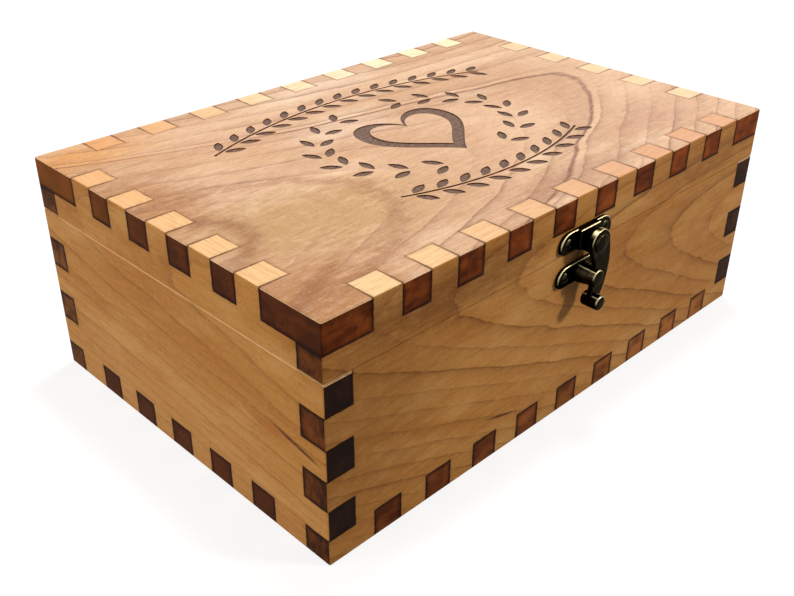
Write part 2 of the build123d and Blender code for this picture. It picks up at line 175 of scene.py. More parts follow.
def worked(tree: Tree, kind: str, values: dict[object, object],
           output: object = 0, **settings: str) -> Wire:
    """Adds a node that works something out.

    Args:
        tree: the tree that it goes in.
        kind: the kind of shader node.
        values: a wire, number or colour for each input used, by its name or place.
        output: the name or place of the output that is wanted.
        settings: the node's own settings.

    Returns:
        The wire of that output.
    """
    node = tree.nodes.new("ShaderNode" + kind)
    for label, choice in settings.items():
        setattr(node, label, choice)
    for label, value in values.items():
        feed(tree, node.inputs[label], value)
    return Wire(tree, node.outputs[output])


def noise(place: Wire, scale: float, detail: float = 2.0, rough: float = 0.5) -> Wire:
    """A soft random value about 0.5.

    Args:
        place: where the noise is read.
        scale: its scale.
        detail: how many finer octaves are added.
        rough: how strong those are.

    Returns:
        The wire with the noise.
    """
    return worked(place.tree, "TexNoise",
                  {"Vector": place, "Scale": scale, "Detail": detail, "Roughness": rough})


def drawn_out(x: Wire, y: Wire, z: Wire, detail: float = 2.0, rough: float = 0.5) -> Wire:
    """The same noise, read at a place that is put together from three stretched values."""
    return noise(worked(x.tree, "CombineXYZ", {0: x, 1: y, 2: z}), 1.0, detail, rough)


class Effect:
    """A shader node group with named inputs and outputs, built once and placed anywhere."""

    def __init__(self, name: str, inputs: dict[str, tuple], outputs: dict[str, tuple]) -> None:
        """Makes the empty group.

        Args:
            name: the group's name.
            inputs: the names of its inputs by their kind, Float, Vector or Color.
            outputs: the names of its outputs by their kind.
        """
        self.tree = bpy.data.node_groups.new(name, "ShaderNodeTree")
        for way, kinds in (("INPUT", inputs), ("OUTPUT", outputs)):
            for kind, labels in kinds.items():
                for label in labels:
                    self.tree.interface.new_socket(
                        label, in_out=way, socket_type="NodeSocket" + kind)
        source = self.tree.nodes.new("NodeGroupInput")
        self.given = {end.name: Wire(self.tree, end) for end in source.outputs if end.name}
        self.sink = self.tree.nodes.new("NodeGroupOutput")

    def give(self, **results: Wire) -> None:
        """Links each result to the output of that name."""
        for label, wire in results.items():
            feed(self.tree, self.sink.inputs[label], wire)

    def place(self, tree: Tree, values: dict[str, object]) -> dict[str, Wire]:
        """Places the group in a tree.

        Args:
            tree: the tree that it goes in.
            values: a wire, number or colour for each input. One that the group has no
                input for is passed over.

        Returns:
            The wire of each output by name.
        """
        node = tree.nodes.new("ShaderNodeGroup")
        node.node_tree = self.tree
        for label in self.given:
            if label in values:
                feed(tree, node.inputs[label], values[label])
        return {socket.name: Wire(tree, socket) for socket in node.outputs}


def settings_of(record: object) -> dict[str, object]:
    """A record's fields as an effect's inputs, so that ring_gap sets Ring Gap."""
    return {label.replace("_", " ").title(): value for label, value in vars(record).items()}


# Shared effects
def ring_effect() -> Effect:
    """Growth rings of a tapering trunk, as the saw lays them open on a board.

    Rings are cones about a bent pith line that lies under the face. Line is the thin dark
    edge of each ring, Shade the softer dark beside it, and Band the slow change of shade
    from one ring to the next. Calm is how strong the lines are over the pith, and the ring
    of the radius Bold Ring is dark all along.

    Returns:
        The effect.
    """
    effect = Effect(
        "growth_rings",
        {"Float": ("Along", "Across", "Depth", "Pith Height", "Pith Tilt", "Pith Bend",
                   "Pith Depth", "Taper", "Ring Gap", "Wander", "Calm", "Bold Ring", "Seed")},
        {"Float": ("Line", "Shade", "Band")})
    g = effect.given
    along, across, depth, seed = (g[label] for label in ("Along", "Across", "Depth", "Seed"))
    drift = drawn_out(along / 75, across / 24, depth / 24 + seed, 1.5)
    quiver = drawn_out(along / 13, across / 4, depth / 5 + seed)
    wandered = across + (drift - 0.5) * g["Wander"] * 2.0
    bend = (along * g["Pith Bend"] + g["Pith Tilt"]) * along
    height = wandered - g["Pith Height"] - bend
    deep = g["Pith Depth"] + depth
    radius = (height * height + deep * deep).sum("SQRT") - along * g["Taper"]
    rings = (radius + (quiver - 0.5) * 1.4) / g["Ring Gap"]
    chance = worked(effect.tree, "TexWhiteNoise", {"W": rings.sum("FLOOR") + seed},
                    noise_dimensions="1D")
    fade = drawn_out(along / 40, across / 14, seed + 3.0, 1.0)
    strength = (chance.ease(0.0, 1.0, 0.45, 1.0) * fade.ease(0.3, 0.5, 0.55, 1.0)
                * height.size().ease(8.0, 34.0, g["Calm"], 1.0))
    place = rings.sum("FRACT")
    left = 1.0 - place
    rise = place.ease(0.0, 0.05) * strength
    past = radius + (quiver - 0.5) * 1.2 - g["Bold Ring"]
    inner = past.ease(-9.0, 0.0) * past.ease(1.0, 0.0)
    effect.give(Line=(left.sum("POWER", 12.0) * rise).most(past.size().ease(0.1, 0.8, 0.8, 0.0)),
                Shade=(left.sum("POWER", 2.0) * rise).most(inner * 0.6),
                Band=drawn_out(rings * 0.6, along / 130, seed, 1.0))
    return effect


def fibre_effect() -> Effect:
    """Fine structure of planed wood: fibres, short dark pores, speckle and cloudy shades.

    Returns:
        The effect.
    """
    effect = Effect("wood_fibre", {"Float": ("Along", "Across", "Depth", "Seed")},
                    {"Float": ("Streak", "Pore", "Cloud", "Ripple", "Grit")})
    g = effect.given
    along, across = g["Along"], g["Across"]
    shifted = g["Depth"] + g["Seed"] * 17.0
    pores = drawn_out(along / 1.8, across * 2.6, shifted * 2.6, 1.0)
    effect.give(Streak=drawn_out(along / 11, across * 1.2, shifted * 1.2, 3.0, 0.65),
                Pore=pores.ease(0.58, 0.74),
                Cloud=drawn_out(along / 46, across / 17, shifted / 17, 3.0, 0.6),
                Ripple=drawn_out(along / 3.5, across / 2.2, shifted / 5),
                Grit=drawn_out(along * 1.3, across * 1.7, shifted * 1.7, 2.0, 0.7))
    return effect


def patch_effect() -> Effect:
    """A patch of another shade in the wood, from a broad cloud to a thin mineral streak.

    Hollow makes a hoop of the patch: it is the share of the patch that the hoop's band takes.

    Returns:
        The effect.
    """
    effect = Effect(
        "mineral_patch",
        {"Float": ("Along", "Across", "Middle Along", "Middle Across", "Half Length",
                   "Half Width", "Lean", "Ragged", "Hollow")},
        {"Float": ("Mask",)})
    g = effect.given
    u, v = g["Along"] - g["Middle Along"], g["Across"] - g["Middle Across"]
    near = u / g["Half Length"]
    side = (v - u * g["Lean"]) / g["Half Width"]
    torn = drawn_out(g["Along"] / 9, g["Across"] / 3, g["Middle Along"], 3.0, 0.6)
    reach = (near * near + side * side).sum("SQRT") + (torn - 0.5) * g["Ragged"] * 3.0
    solid = reach.ease(0.25, 1.0, 1.0, 0.0)
    hoop = (reach - 0.75).size().ease(0.0, g["Hollow"].most(0.01), 1.0, 0.0)
    effect.give(Mask=solid + (hoop - solid) * g["Hollow"].above(0.0))
    return effect


def comb(along: Wire, inward: Wire, row: Row, odd: bool, faint: float = 0.0) -> Wire:
    """Distance to the nearest joint line of a row of fingers along one edge.

    Args:
        along: position along the edge.
        inward: distance from the edge into the face.
        row: the row.
        odd: whether the notches are the odd spans, and so the plain corners too.
        faint: how much further off the lines seem at their inner ends.

    Returns:
        The wire with the distance.
    """
    step = (along - row.first) / row.pitch
    mark = step.sum("ROUND").most(0.0).least(row.spans)
    sideways = (step - mark).size() * row.pitch + inward * (faint / BOX.board)
    past = inward - BOX.board
    span = step.sum("FLOOR").most(-1.0).least(row.spans)
    parity = (span + 2.0).sum("MODULO", 2.0)
    other = 1.0 - parity if odd else parity
    return sideways.most(past).least(past.size() + other * FAR + faint)


def outline_effect() -> Effect:
    """How far a point of an outer face is from the nearest joint line, in millimetres.

    Returns:
        The effect.
    """
    effect = Effect("joint_lines", {"Vector": ("Place", "Facing")}, {"Float": ("Distance",)})
    x, y, z = effect.given["Place"].parts()
    off_x, off_y, off_z = (part.size().below(LEVEL) for part in effect.given["Facing"].parts())
    far_x, far_y = BOX.half_length - x.size(), BOX.half_width - y.size()
    from_top, down, clear = BOX.height - z, BOX.seam - z, 0.3
    in_lid = z.above(BOX.seam + clear) * FAR
    in_lid_top = z.above(BOX.height - BOX.board + clear) * FAR
    front = (comb(x, from_top, BOX.long_row, True).least(comb(x, z, BOX.long_row, False))
             .least(comb(down, far_x, BOX.stack, False) + in_lid))
    end = (comb(y, from_top, BOX.short_row, True).least(comb(y, z, BOX.short_row, False))
           .least(comb(down, far_y, BOX.stack, True) + in_lid_top))
    flat = (comb(x, far_y, BOX.long_row, False, 0.25)
            .least(comb(y, far_x, BOX.short_row, False, 0.25)))
    inside = z.above(EDGE) * z.below(BOX.height - EDGE)
    effect.give(Distance=(front + off_y * FAR).least(end + off_x * FAR)
                .least(flat + off_z.most(inside) * FAR))
    return effect


def scorch_effect() -> Effect:
    """The laser's burn on a cut edge: the grain shows through a brown crust with soot on it.

    Returns:
        The effect.
    """
    effect = Effect("laser_scorch",
                    {"Vector": ("Place", "Stretch"), "Color": ("Deep", "Warm"), "Float": ("Glow",)},
                    {"Color": ("Color",), "Float": ("Relief",)})
    g = effect.given
    stretched = worked(effect.tree, "VectorMath", {0: g["Place"], 1: g["Stretch"]},
                       operation="MULTIPLY")
    grain = noise(stretched, 1.0, 3.0, 0.6)
    cloud = noise(g["Place"], 0.13)
    soot = noise(g["Place"], 0.8, 3.0, 0.6)
    share = grain.ease(0.25, 0.75) * 0.5 + cloud.ease(0.35, 0.65) * 0.5 - 0.5 + g["Glow"]
    crust = (share - soot.ease(0.55, 0.8) * 0.3).most(0.0).least(1.0)
    effect.give(Color=crust.between(g["Deep"], g["Warm"]), Relief=grain * 0.6 + soot * 0.4)
    return effect


def patina_effect() -> Effect:
    """Aged bronze: black and brown clouds, bright edges partly rubbed and partly painted highlight, and a
    faint casting grain.

    Returns:
        The effect.
    """
    effect = Effect("bronze_patina",
                    {"Vector": ("Place",), "Float": ("Wear And Highlight",), "Color": ("Dark", "Brown", "Bright")},
                    {"Color": ("Color",), "Float": ("Roughness", "Relief")})
    g = effect.given
    cloud = noise(g["Place"], 0.30, 3.0, 0.6)
    grain = noise(g["Place"], 3.0)
    body = cloud.ease(0.50, 0.75).between(g["Dark"], g["Brown"])
    # Bright where edges are rubbed and where highlights are painted
    rubbed_and_highlit = g["Wear And Highlight"] * cloud.ease(0.25, 0.55, 0.6, 1.0)
    rough = cloud.ease(0.3, 0.7, 0.16, 0.26) + grain * 0.04 + g["Wear And Highlight"] * 0.26
    effect.give(Color=rubbed_and_highlit.between(body, g["Bright"]), Roughness=rough, Relief=grain)
    return effect


class Workshop:
    """Builds each shared effect once and hands it out."""

    def __init__(self) -> None:
        """Builds the effects."""
        self.rings = ring_effect()
        self.fibre = fibre_effect()
        self.patch = patch_effect()
        self.outline = outline_effect()
        self.scorch = scorch_effect()
        self.patina = patina_effect()


# Finishes
@dataclass(frozen=True)
class Figure:
    """How the growth rings lie on a board: the inputs of the ring effect."""

    pith_height: float
    pith_tilt: float
    pith_bend: float
    pith_depth: float
    taper: float
    ring_gap: float
    wander: float
    seed: float
    calm: float = 1.0
    bold_ring: float = -99.0


@dataclass(frozen=True)
class Patch:
    """A patch of another shade on a board, with the inputs of the patch effect.

    Calming is how much weaker the growth rings are on it.
    """

    color: tuple
    strength: float
    middle_along: float
    middle_across: float
    half_length: float
    half_width: float
    lean: float = 0.0
    ragged: float = 0.3
    calming: float = 0.0
    hollow: float = 0.0


@dataclass(frozen=True)
class WoodTone:
    """The colours of planed wood."""

    base: tuple
    second: tuple
    pale: tuple
    line: tuple
    pore: tuple


@dataclass(frozen=True)
class Burn:
    """The colours of a board's burnt edges, from its one end to its other.

    Ends are the tones of a panel's end grain, at its front and its back.
    """

    deep: tuple
    warm: tuple
    glow: float
    far_warm: tuple
    far_glow: float
    ends: tuple = tone(70, 39, 22)
    far_ends: tuple = tone(70, 39, 22)


class Lie(Enum):
    """Which axes of the row frame run along the grain, across the face and through it."""

    PANEL = (0, 1, 2)
    LONG_WALL = (0, 2, 1)
    END_WALL = (1, 2, 0)


class Coat:
    """A new material: its shader, and where a point of its surface is and faces."""

    def __init__(self, name: str) -> None:
        """Starts the material, with places in millimetres."""
        self.material = bpy.data.materials.new(name)
        self.material.use_nodes = True
        self.tree = self.material.node_tree
        self.shader = self.tree.nodes["Principled BSDF"]
        where = worked(self.tree, "TexCoord", {}, "Object")
        self.facing = Wire(self.tree, where.socket.node.outputs["Normal"])
        self.place = worked(self.tree, "Mapping", {"Vector": where, "Scale": (1 / MM,) * 3})

    def finish(self, looks: dict[str, object], relief: Wire, strength: float,
               height: float) -> Material:
        """Feeds the shader.

        Args:
            looks: a wire, number or colour for each input of the shader that is set.
            relief: the height of the fine relief, 0 to 1.
            strength: how strong the relief is.
            height: how high it is in millimetres.

        Returns:
            The material.
        """
        bump = worked(self.tree, "Bump",
                      {"Height": relief, "Strength": strength, "Distance": height * MM})
        for label, value in {**looks, "Normal": bump}.items():
            feed(self.tree, self.shader.inputs[label], value)
        return self.material


@dataclass(frozen=True)
class BoardFinish:
    """One board's finish: which way its grain runs, its figure and its colours."""

    name: str
    lie: Lie
    face: float
    figure: Figure
    wood: WoodTone
    burn: Burn
    turn: float = 1.0
    patches: tuple = ()
    engraved: bool = False
    tip_near: tuple = tone(250, 214, 164)
    tip_far: tuple = tone(250, 214, 164)
    line_strength: float = 1.0
    sheen: float = 0.03
    relief: tuple = (0.35, 0.12)
    panel_grain: tuple = (0.10, 0.10, 0.36)
    wall_grain: tuple = (0.35, 0.35, 0.16)
    # Tones of the joint lines: laser char with painted shade of the joint gaps, paler on the top
    kerf: tuple = tone(24, 9, 6)
    top_kerf: tuple = tone(92, 42, 22)
    ash: tuple = tone(80, 60, 53)
    pale_ash: tuple = tone(126, 103, 92)

    def planed(self, tree: Tree, shop: Workshop, lie: dict[str, object],
               fibre: dict[str, Wire]) -> Wire:
        """The colour of the planed faces.

        Args:
            tree: the material's tree.
            shop: the shared effects.
            lie: where a point is in the board.
            fibre: what the fibre effect gives there.

        Returns:
            The colour.
        """
        rings = shop.rings.place(tree, {**settings_of(self.figure), **lie})
        wood, lines = self.wood, self.line_strength
        color = rings["Band"].ease(0.35, 0.65).between(wood.base, wood.second)
        color = fibre["Cloud"].ease(0.45, 0.75, 0.0, 0.6).between(color, wood.pale)
        for patch in self.patches:
            mask = shop.patch.place(tree, {**settings_of(patch), **lie})["Mask"]
            color = (mask * patch.strength).between(color, patch.color)
            if patch.calming:
                lines = (mask * -patch.calming + 1.0) * lines
        dark = (rings["Line"] * 0.9 + rings["Shade"] * 0.36).least(1.0) * lines
        layers = ((dark, wood.line),
                  (fibre["Streak"].ease(0.48, 0.72, 0.0, 0.22), wood.line),
                  (fibre["Streak"].ease(0.48, 0.25, 0.0, 0.16), wood.pale),
                  (fibre["Ripple"].ease(0.45, 0.75, 0.0, 0.14), wood.pale),
                  (fibre["Grit"].ease(0.52, 0.75, 0.0, 0.22), wood.line),
                  (fibre["Grit"].ease(0.48, 0.25, 0.0, 0.18), wood.pale),
                  (fibre["Pore"] * 0.34, wood.pore))
        for share, shade in layers:
            color = share.between(color, shade)
        return color

    def dress(self, shop: Workshop) -> Material:
        """Builds the material.

        Args:
            shop: the shared effects.

        Returns:
            The material.
        """
        coat = Coat(self.name)
        tree, place, facing = coat.tree, coat.place, coat.facing
        spots, normals = place.parts(), facing.parts()
        u, v, w = self.lie.value
        along = spots[u] * self.turn
        lie = {"Along": along, "Across": spots[v], "Depth": spots[w] - self.face,
               "Seed": self.figure.seed}
        fibre = shop.fibre.place(tree, lie)
        planed = self.planed(tree, shop, lie, fibre)

        off_seam = (spots[2] - BOX.seam).size()
        # Along the seam the cut faces and eased edges are painted pale instead of charred: painted light
        # lifting the seam gap's shade, and a painted highlight on the eased edges
        rim = off_seam.below(BOX.rim_reach)
        seam_edge_highlight = off_seam.below(BOX.rim_reach - 0.1) * normals[2].size().above(0.3)
        bare = (spots[2].above(BOX.height - EDGE) * normals[2].above(0.4)).most(rim)
        cut = normals[w].size().ease(0.62, 0.45)
        burnt = cut * (1.0 - bare.most(seam_edge_highlight))
        tips = along.ease(-BOX.half_length, BOX.far_tips_from).between(self.tip_near, self.tip_far)
        tips = noise(place, 1.1, 3.0, 0.7).ease(0.45, 0.75, 0.0, 0.14).between(tips, planed)
        tips = fibre["Streak"].ease(0.4, 0.7, 0.0, 0.35).between(tips, self.wood.base)
        # At the seam the tip tone gives way to planed wood, but on end walls most of the pale tip tone
        # stays as the seam's painted highlight
        tips = (rim * (0.3 if self.lie is Lie.END_WALL else 1.0)).between(tips, planed)
        color = (cut * bare).most(seam_edge_highlight).between(planed, tips)

        burn, panel = self.burn, self.lie is Lie.PANEL
        span = along.ease(-BOX.half_length, BOX.half_length)
        glow = span * (burn.far_glow - burn.glow) + burn.glow
        on_end = normals[u].size() * 0.6
        scorch = shop.scorch.place(tree, {
            "Place": place, "Stretch": self.panel_grain if panel else self.wall_grain,
            "Deep": burn.deep, "Warm": span.between(burn.warm, burn.far_warm),
            "Glow": glow * (1.0 - on_end) if panel else glow})
        char = scorch["Color"]
        if panel:
            char = on_end.between(char, spots[1].ease(*BOX.ends_change).between(burn.ends, burn.far_ends))
        color = burnt.between(color, char)
        relief = fibre["Streak"] * 0.5 + fibre["Pore"] * -0.6 + scorch["Relief"] * burnt * 1.5
        gloss = fibre["Streak"].ease(0.3, 0.7, 0.40, 0.54) + burnt * 0.16

        distance = shop.outline.place(tree, {"Place": place, "Facing": facing})["Distance"]
        ragged = distance + (noise(place, 0.45) - 0.5) * 0.5
        on_top = normals[2].above(0.5)
        halo = ragged.ease(0.2, 2.2, 1.0, 0.0) * (burnt * 0.5 + 0.06)
        # Joint lines: laser char darkened further as painted shade in the joint gaps, narrower and paler
        # on the top faces
        kerf = ragged.ease(0.05, burnt * 0.6 + on_top * 0.34 + 0.42, 1.0, 0.0)
        color = halo.between(color, burn.deep)
        kerf_tone = on_top.between(self.kerf, self.top_kerf)
        color = (kerf * (on_top * -0.1 + 0.9)).between(color, kerf_tone)

        if self.engraved:
            soot = noise(place, 0.9, 4.0, 0.75)
            (x, y, z), (least, most) = spots, BOX.floor_depth
            sunk = (z.below(BOX.height - least) * z.above(BOX.height - most) * normals[2].above(0.7)
                    * x.size().below(BOX.ornament_reach[0]) * y.size().below(BOX.ornament_reach[1]))
            ash = soot.ease(0.35, 0.65).between(self.ash, self.pale_ash)
            color = (sunk * 0.93).between(color, ash)
            gloss = gloss + sunk * 0.12
            relief = relief + sunk * soot * 2.0
        return coat.finish({"Base Color": color, "Roughness": gloss,
                            "Specular IOR Level": self.sheen}, relief, *self.relief)


@dataclass(frozen=True)
class BronzeFinish:
    """Antique bronze, near black in the hollows, bright along its upper edges partly by rubbing and
    partly as painted highlight.
    """

    name: str
    dark: tuple = tone(13, 11, 7)
    brown: tuple = tone(34, 26, 15)
    bright: tuple = tone(240, 222, 170)
    glance: tuple = (0.6, 0.58, 0.54, 1.0)
    relief: tuple = (0.2, 0.03)

    def dress(self, shop: Workshop) -> Material:
        """Builds the material.

        Args:
            shop: the shared effects.

        Returns:
            The material.
        """
        coat = Coat(self.name)
        # Marks of rub and painted highlight written on the mesh
        wear_and_highlight = worked(coat.tree, "Attribute", {}, "Fac", attribute_name=WEAR_AND_HIGHLIGHT)
        skin = shop.patina.place(coat.tree,
                                 {**settings_of(self), "Place": coat.place, "Wear And Highlight": wear_and_highlight})
        return coat.finish({"Base Color": skin["Color"], "Roughness": skin["Roughness"],
                            "Metallic": 1.0, "Specular Tint": self.glance},
                           skin["Relief"], *self.relief)


def paint(name: str, material: Material) -> None:
    """Puts a material in every slot of a CAD node's object.

    Args:
        name: the node's name.
        material: its finish.
    """
    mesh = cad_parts[name].data
    for index in range(len(mesh.materials)):
        mesh.materials[index] = material
    if not mesh.materials:
        mesh.materials.append(material)
    log.info("%s dressed in %s", name, material.name)


# The boards
@dataclass(frozen=True)
class Boards:
    """The ten boards of the box, each with its own cut from the tree."""

    salmon: WoodTone = WoodTone(base=tone(220, 180, 147), second=tone(206, 164, 130),
                                pale=tone(240, 208, 174), line=tone(134, 90, 70),
                                pore=tone(150, 108, 84))
    golden: WoodTone = WoodTone(base=tone(184, 128, 66), second=tone(174, 116, 56),
                                pale=tone(206, 158, 96), line=tone(108, 62, 26),
                                pore=tone(132, 84, 44))
    front_burn: Burn = Burn(tone(42, 21, 11), tone(126, 70, 34), 0.42, tone(108, 64, 40), 0.30)
    back_burn: Burn = Burn(tone(48, 26, 14), tone(132, 82, 44), 0.50, tone(132, 82, 44), 0.50)
    left_burn: Burn = Burn(tone(26, 14, 10), tone(78, 44, 26), 0.25, tone(54, 30, 18), 0.10)
    right_burn: Burn = Burn(tone(34, 18, 11), tone(84, 54, 36), 0.30, tone(78, 46, 28), 0.26)
    lid_burn: Burn = Burn(tone(58, 21, 5), tone(140, 70, 28), 0.48, tone(152, 76, 33), 0.58,
                          tone(66, 36, 19), tone(124, 72, 26))
    floor_burn: Burn = Burn(tone(58, 24, 8), tone(124, 64, 30), 0.54, tone(172, 109, 60), 0.80)

    def finishes(self) -> dict[str, BoardFinish]:
        """Settles how every board is finished.

        Returns:
            The finish of each board's node.
        """
        lid_rings = Figure(-17.1, 0.1215, 0.001216, 30, -0.25, 7.5, 5, 3, 0.22, 50.5)
        front_rings = Figure(53.5, -0.18, 0, 20, 0.187, 5.05, 2.2, 11)
        left_rings = Figure(64, 0, 0, 30, 0.07, 3.7, 3.4, 5)
        back_rings = Figure(20, 0.12, 0, 24, 0.16, 5.6, 3, 23)
        right_rings = Figure(10, -0.1, 0, 26, 0.15, 5.4, 3, 31)
        lid_patches = (
            Patch(tone(186, 146, 98), 0.8, -66, -26, 54, 32, lean=-0.1, calming=0.35),
            Patch(tone(170, 118, 74), 0.85, -104, -60, 56, 34, calming=0.7),
            Patch(tone(174, 124, 82), 0.88, -99, 12, 28, 42, calming=0.4),
            Patch(tone(142, 94, 64), 0.66, -106, -17, 27, 21, ragged=0.10, hollow=0.22),
            Patch(tone(150, 102, 74), 0.45, -106, -24, 84, 48, ragged=0.08, hollow=0.07),
            Patch(tone(140, 90, 56), 0.5, -92, -54, 26, 5, lean=0.5),
            Patch(tone(222, 154, 86), 0.6, -98, 58, 24, 12),
            Patch(tone(204, 158, 122), 0.5, 62, 0, 22, 20),
            Patch(tone(212, 164, 124), 0.35, -68, 32, 46, 24, lean=-0.3, calming=0.6),
            # Near-white strip along the back of the lid: painted highlight
            Patch(tone(248, 222, 198), 0.45, 6, 56, 46, 12),
            Patch(tone(214, 150, 82), 0.55, -88, 56, 34, 16),
            Patch(tone(176, 128, 96), 0.4, -84, 30, 26, 6, lean=-0.05),
            Patch(tone(174, 130, 102), 0.65, 8, -58, 54, 11),
            Patch(tone(178, 132, 104), 0.55, 76, -44, 46, 18, lean=0.2),
            Patch(tone(240, 212, 188), 0.4, -16, 20, 30, 16),
            Patch(tone(218, 174, 140), 0.3, 88, -34, 22, 50, calming=0.55),
        )
        left_patches = (
            Patch(tone(206, 152, 92), 0.45, 0, 12, 90, 24),
            Patch(tone(160, 92, 44), 0.55, 44, 34, 14, 3.2, lean=-0.12),
            Patch(tone(70, 26, 8), 1, 55.5, 34.2, 12.5, 1, lean=-0.19, ragged=0.12),
        )
        front_patches = (
            # Broad darker patch over the left of the front: painted shade falling off towards the left
            # end
            Patch(tone(144, 94, 46), 0.7, -102, 50, 58, 74),
            Patch(tone(120, 74, 34), 0.75, -54, 66, 50, 11),
            Patch(tone(50, 28, 12), 1, -33, 13.4, 10, 0.7, lean=-0.27, ragged=0.1),
            Patch(tone(136, 88, 42), 0.5, 72, 66, 44, 10),
            Patch(tone(208, 160, 100), 0.35, -52, 26, 9, 4),
        )
        half_x, half_y = BOX.half_length, BOX.half_width
        made = {
            "lid_top_panel": BoardFinish(
                "lid_top_wood", Lie.PANEL, BOX.height, lid_rings, self.salmon, self.lid_burn,
                patches=lid_patches, engraved=True),
            "body_bottom_panel": BoardFinish(
                "floor_wood_finish", Lie.PANEL, 0, Figure(20, 0.05, 0, 18, 0.2, 6, 5, 41),
                self.golden, self.floor_burn),
        }
        sides = (
            ("front", Lie.LONG_WALL, -half_y, 1, front_rings, front_patches, self.front_burn,
             tone(240, 203, 154), tone(216, 164, 128)),
            # The back's near-white far tip tone is a painted highlight of the bright back of the top
            ("back", Lie.LONG_WALL, half_y, 1, back_rings, (), self.back_burn,
             tone(222, 162, 110), tone(255, 232, 194)),
            ("left_end", Lie.END_WALL, -half_x, -1, left_rings, left_patches, self.left_burn,
             tone(232, 172, 120), tone(236, 192, 142)),
            ("right_end", Lie.END_WALL, half_x, -1, right_rings, (), self.right_burn,
             tone(240, 206, 166), tone(240, 202, 160)),
        )
        for side, lie, face, turn, rings, patches, burn, near, far in sides:
            for part in ("lid", "body"):
                made[f"{part}_{side}"] = BoardFinish(
                    f"{part}_{side}_wood", lie, face, rings, self.golden, burn,
                    turn=turn, patches=patches, tip_near=near, tip_far=far,
                    line_strength=0.55 if side == "left_end" else 1.0)
        return made

    def build(self, shop: Workshop) -> None:
        """Dresses every board."""
        for node, finish in self.finishes().items():
            paint(node, finish.dress(shop))


# Mesh making
class Outline:
    """A flat outline drawn run by run from a starting point, then filled or turned."""

    def __init__(self, start: tuple[float, float], *points: tuple[float, float]) -> None:
        """Starts the outline at a point, with straight runs to those that follow.

        Args:
            start: the point that it starts at.
            points: those that straight runs lead to.
        """
        self.bm = bmesh.new()
        self.tip = self.bm.verts.new((*start, 0.0))
        self.lines(*points)

    def lines(self, *points: tuple[float, float]) -> "Outline":
        """Draws straight runs from point to point.

        Args:
            points: where the runs lead.

        Returns:
            The outline.
        """
        for point in points:
            end = self.bm.verts.new((*point, 0.0))
            self.bm.edges.new((self.tip, end))
            self.tip = end
        return self

    def arc(self, x: float, y: float, degrees: float, pitch: float = 0.45) -> "Outline":
        """Spins an arc about a centre.

        Args:
            x: the centre's x.
            y: the centre's y.
            degrees: how far it turns, against the clock if positive.
            pitch: the length of one step, about.

        Returns:
            The outline.
        """
        centre = Vector((x, y, 0.0))
        length = math.radians(abs(degrees)) * (self.tip.co - centre).length
        made = bmesh.ops.spin(self.bm, geom=[self.tip], cent=centre, axis=(0, 0, 1),
                              angle=math.radians(degrees), steps=max(3, round(length / pitch)))
        self.tip = next(g for g in made["geom_last"] if isinstance(g, bmesh.types.BMVert))
        return self

    def arc_through(self, way: tuple[float, float], end: tuple[float, float],
                    pitch: float = 0.45) -> "Outline":
        """Spins an arc through one point to another.

        Args:
            way: the point on the way.
            end: the point that it ends at.
            pitch: the length of one step, about.

        Returns:
            The outline.
        """
        a, b, c = self.tip.co.to_2d(), Vector(way), Vector(end)
        p, q = b - a, c - a
        twice = 2 * (p.x * q.y - p.y * q.x)
        centre = a + Vector((q.y * p.length_squared - p.y * q.length_squared,
                             p.x * q.length_squared - q.x * p.length_squared)) / twice
        start, stop = a - centre, c - centre
        turn = math.degrees(math.atan2(stop.y, stop.x) - math.atan2(start.y, start.x)) % 360
        return self.arc(centre.x, centre.y, turn if twice > 0 else turn - 360, pitch)

    def plate(self, low: float, high: float) -> Solid:
        """Closes the outline, fills it and gives it a thickness.

        Args:
            low: z of its back.
            high: z of its front.

        Returns:
            The solid.
        """
        bmesh.ops.remove_doubles(self.bm, verts=self.bm.verts, dist=0.01)
        ends = [v for v in self.bm.verts if len(v.link_edges) == 1]
        if ends:
            self.bm.edges.new(ends)
        bmesh.ops.contextual_create(self.bm, geom=self.bm.edges)
        made = bmesh.ops.extrude_face_region(self.bm, geom=self.bm.faces[:])
        top = [g for g in made["geom"] if isinstance(g, bmesh.types.BMVert)]
        bmesh.ops.translate(self.bm, verts=top, vec=(0, 0, high - low))
        bmesh.ops.translate(self.bm, verts=self.bm.verts, vec=(0, 0, low))
        bmesh.ops.recalc_face_normals(self.bm, faces=self.bm.faces)
        return self.bm

    def turned(self, steps: int = 48) -> Solid:
        """Turns the outline, radius by height and open at the axis, into a round solid.

        Args:
            steps: facets round the axis.

        Returns:
            The solid, standing along Z.
        """
        upright = Matrix.Rotation(math.radians(90), 3, "X")
        bmesh.ops.rotate(self.bm, verts=self.bm.verts, cent=(0, 0, 0), matrix=upright)
        bmesh.ops.spin(self.bm, geom=self.bm.verts[:] + self.bm.edges[:], cent=(0, 0, 0),
                       axis=(0, 0, 1), angle=math.tau, steps=steps, use_merge=True)
        bmesh.ops.remove_doubles(self.bm, verts=self.bm.verts, dist=0.004)
        bmesh.ops.recalc_face_normals(self.bm, faces=self.bm.faces)
        return self.bm


def slab(low: tuple[float, float, float], high: tuple[float, float, float]) -> Solid:
    """A rectangular bar between two corners.

    Args:
        low: its lowest corner.
        high: its highest corner.

    Returns:
        The bar.
    """
    bm = bmesh.new()
    low, high = Vector(low), Vector(high)
    bmesh.ops.create_cube(bm, size=1.0, matrix=Matrix.Translation((low + high) / 2)
                          @ Matrix.Diagonal((*(high - low), 1.0)))
    return bm


def rounded(bm: Solid, edges: list[bmesh.types.BMEdge], radius: float, steps: int) -> None:
    """Rounds some edges of a solid with a radius, in so many facets."""
    bmesh.ops.bevel(bm, geom=edges, offset=radius, offset_type="OFFSET", segments=steps,
                    profile=0.5, affect="EDGES", material=-1, clamp_overlap=True)


